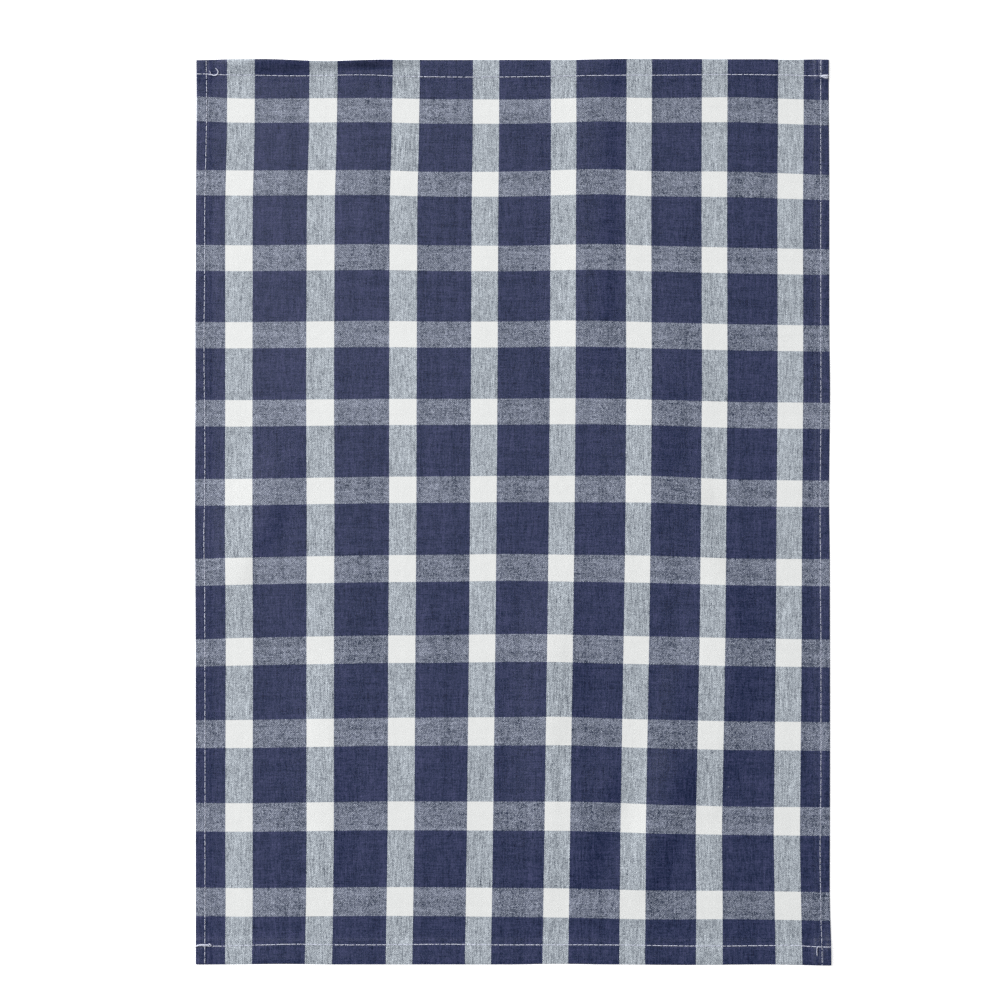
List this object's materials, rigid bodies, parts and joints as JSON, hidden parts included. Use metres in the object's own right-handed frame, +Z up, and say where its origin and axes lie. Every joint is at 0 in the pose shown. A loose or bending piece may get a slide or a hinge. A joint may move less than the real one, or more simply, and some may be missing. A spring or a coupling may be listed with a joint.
{
  "type": "tea towel",
  "caption": "Rectangular cotton tea towel for drying dishes, in a navy and off-white check, hemmed on every side and laid out flat.",
  "frame": {"origin": "on the surface that the towel lies on, under the middle of the cloth", "axes": "+Y up the towel's length, towards the end at the top of the picture; +X across it, to the picture's right; +Z up, out of its front face"},
  "size_m": [0.4918, 0.7015, 0.0056],
  "materials": {
    "cotton": "matte yarn-dyed cotton twill, navy with an off-white check"
  },
  "bodies": {
    "root": {"towel_cloth": "cotton"}
  },
  "joints": []
}
